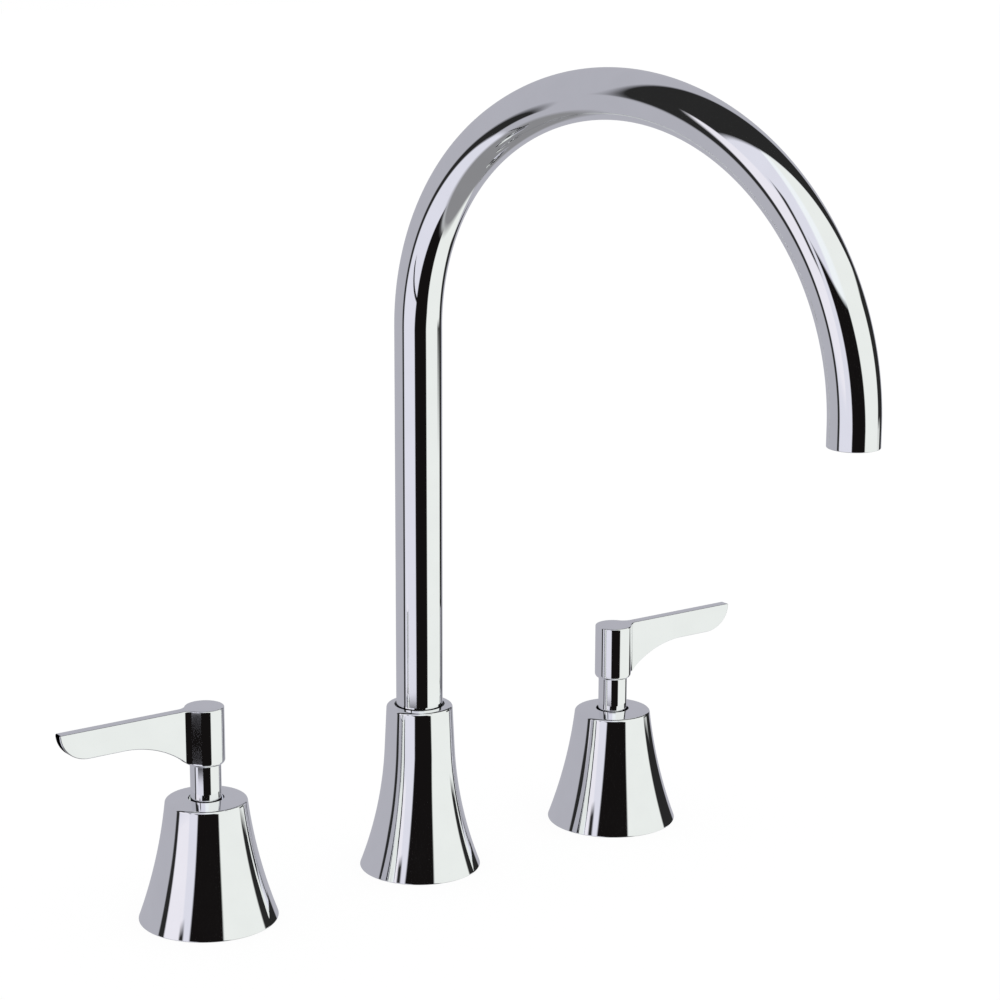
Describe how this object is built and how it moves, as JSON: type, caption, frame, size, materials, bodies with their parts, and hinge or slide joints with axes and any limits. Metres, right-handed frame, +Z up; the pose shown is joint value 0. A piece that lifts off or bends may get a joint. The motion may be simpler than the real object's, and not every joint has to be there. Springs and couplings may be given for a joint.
{
  "type": "two_handle_basin_mixer",
  "caption": "Chrome widespread basin mixer: swan-neck swivel spout on a flared base, quarter-turn lever valves under bells, and a rigid breech below the deck.",
  "frame": {"origin": "the spout's swivel axis at the top of the deck, which is the bottom of the flared base", "axes": "+X along the deck holes, from the left handle to the right handle as the user sees them; +Y away from the user; +Z up"},
  "size_m": [0.325, 0.242, 0.4228],
  "materials": {
    "chrome": "polished",
    "brass": "machined",
    "steel": "zinc plated",
    "copper": "drawn copper tube",
    "rubber": "matte",
    "fibre": "pressed fibre",
    "acetal": "moulded",
    "disc_ceramic": "lapped"
  },
  "bodies": {
    "root": {"breech_tee": "brass", "breech_tee_washer": "fibre", "breech_union_nuts": "brass", "breech_union_washers": "fibre", "deck_backnuts": "brass", "deck_rubber_washers": "rubber", "deck_steel_washers": "steel", "left_bell": "chrome", "left_bell_seal": "rubber", "left_breech_pipe": "copper", "left_disc_seal": "rubber", "left_fixed_disc": "disc_ceramic", "left_headwork": "brass", "left_headwork_washer": "fibre", "left_thrust_washer": "acetal", "left_valve_body": "brass", "left_valve_gasket": "rubber", "left_valve_top_nut": "brass", "right_bell": "chrome", "right_bell_seal": "rubber", "right_breech_pipe": "copper", "right_disc_seal": "rubber", "right_fixed_disc": "disc_ceramic", "right_headwork": "brass", "right_headwork_washer": "fibre", "right_thrust_washer": "acetal", "right_valve_body": "brass", "right_valve_gasket": "rubber", "right_valve_top_nut": "brass", "spout_base_seal": "rubber", "spout_core": "brass", "spout_core_gasket": "rubber", "spout_flared_base": "chrome", "spout_guide_bush": "acetal", "spout_thrust_ring": "acetal"},
    "spout": {"spout_tube": "chrome", "spout_swivel_tail": "brass", "spout_swivel_o_rings": "rubber", "spout_swivel_circlip": "steel", "outlet_bush": "brass", "aerator_seal": "rubber", "aerator_housing": "chrome", "aerator_screen": "acetal", "aerator_flow_disc": "acetal"},
    "left_handle": {"left_moving_disc": "disc_ceramic", "left_spindle": "brass", "left_spindle_o_rings": "rubber", "left_spindle_circlip": "steel", "left_handle_stem": "chrome", "left_stem_screw": "steel", "left_lever_handle": "chrome", "left_handle_grub_screw": "steel"},
    "right_handle": {"right_moving_disc": "disc_ceramic", "right_spindle": "brass", "right_spindle_o_rings": "rubber", "right_spindle_circlip": "steel", "right_handle_stem": "chrome", "right_stem_screw": "steel", "right_lever_handle": "chrome", "right_handle_grub_screw": "steel"}
  },
  "joints": [
    {"name": "spout_swivel", "type": "hinge", "parent": "root", "child": "spout", "pos_m": [0, 0, 0.045], "axis": [0, 0, 1], "range_deg": [-72.3, 47.7]},
    {"name": "left_handle_turn", "type": "hinge", "parent": "root", "child": "left_handle", "pos_m": [-0.1, 0, 0.01], "axis": [0, 0, 1], "range_deg": [0, 90]},
    {"name": "right_handle_turn", "type": "hinge", "parent": "root", "child": "right_handle", "pos_m": [0.1, 0, 0.01], "axis": [0, 0, 1], "range_deg": [-90, 0]}
  ]
}
